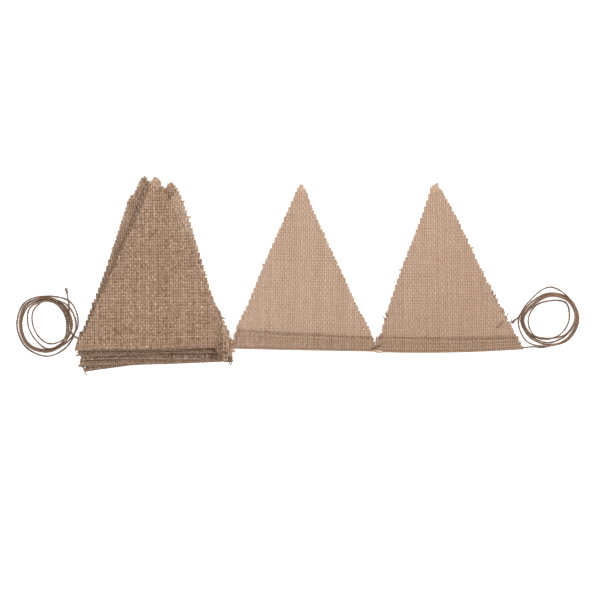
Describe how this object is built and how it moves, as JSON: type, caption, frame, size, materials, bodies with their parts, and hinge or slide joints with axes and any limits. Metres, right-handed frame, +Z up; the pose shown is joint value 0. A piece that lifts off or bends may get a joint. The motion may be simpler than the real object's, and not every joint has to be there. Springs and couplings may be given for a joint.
{
  "type": "fabric bunting",
  "caption": "Hessian pennant bunting laid flat: hemmed triangles on a jute twine, some open and some folded into a stack, with a loose coil of twine at each end.",
  "frame": {"origin": "on the surface that the bunting lies on, at the middle of the pennants' footprint", "axes": "+X along the twine from the stack to the open pennants, +Y from the hems to the tips, +Z up from the surface"},
  "size_m": [0.5614, 0.1956, 0.0286],
  "materials": {
    "hessian": "matte",
    "jute_twine": "matte"
  },
  "bodies": {
    "root": {"pennant_1_right": "hessian", "pennant_2_middle": "hessian", "pennant_3_top": "hessian", "pennant_4": "hessian", "pennant_5": "hessian", "pennant_6": "hessian", "pennant_7": "hessian", "pennant_8": "hessian", "pennant_9_bottom": "hessian", "twine": "jute_twine", "tail_left_lead": "jute_twine", "tail_left_coil": "jute_twine", "tail_left_end": "jute_twine", "tail_right_lead": "jute_twine", "tail_right_coil": "jute_twine", "tail_right_end": "jute_twine"}
  },
  "joints": []
}
